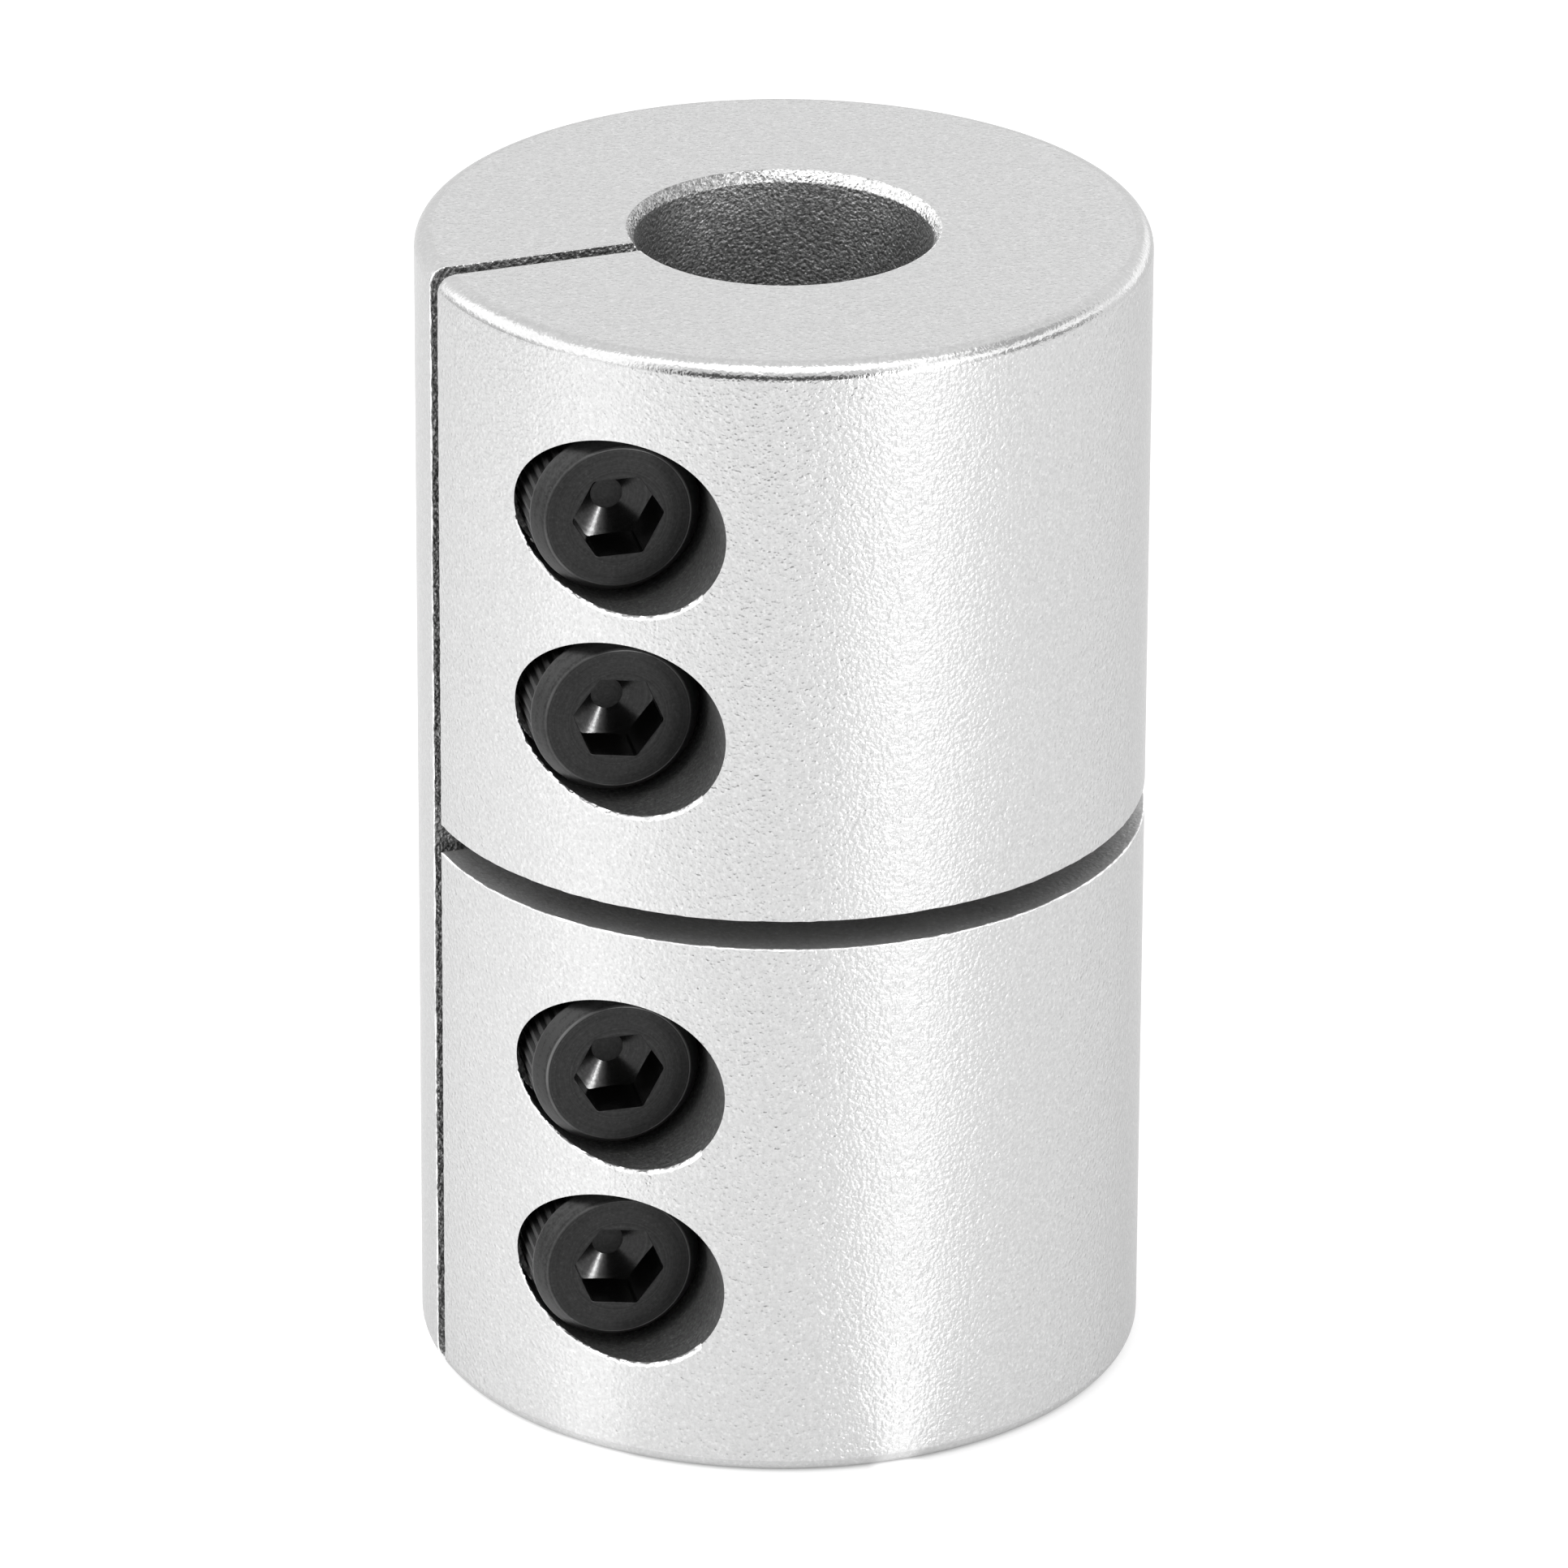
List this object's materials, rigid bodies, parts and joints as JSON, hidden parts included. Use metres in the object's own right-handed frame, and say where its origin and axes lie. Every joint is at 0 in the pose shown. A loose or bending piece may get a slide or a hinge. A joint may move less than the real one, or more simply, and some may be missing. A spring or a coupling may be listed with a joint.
{
  "type": "rigid clamping shaft coupling",
  "caption": "One-piece rigid clamping coupling: a split cylinder whose bore grips two shafts, with a cross slot and counterbored cap screws.",
  "frame": {"origin": "centre of the lower end face, on the bore's axis", "axes": "+Z along the bore, from the lower end to the upper; the slit opens towards -X and the screw heads look towards -Y"},
  "size_m": [0.037, 0.037, 0.0605],
  "materials": {
    "blasted_aluminium": "fine bead-blasted, clear",
    "black_oxide_steel": "black oxide with a thin oil film"
  },
  "bodies": {
    "root": {"body": "blasted_aluminium", "cap_screw_1": "black_oxide_steel", "cap_screw_2": "black_oxide_steel", "cap_screw_3": "black_oxide_steel", "cap_screw_4": "black_oxide_steel"}
  },
  "joints": []
}
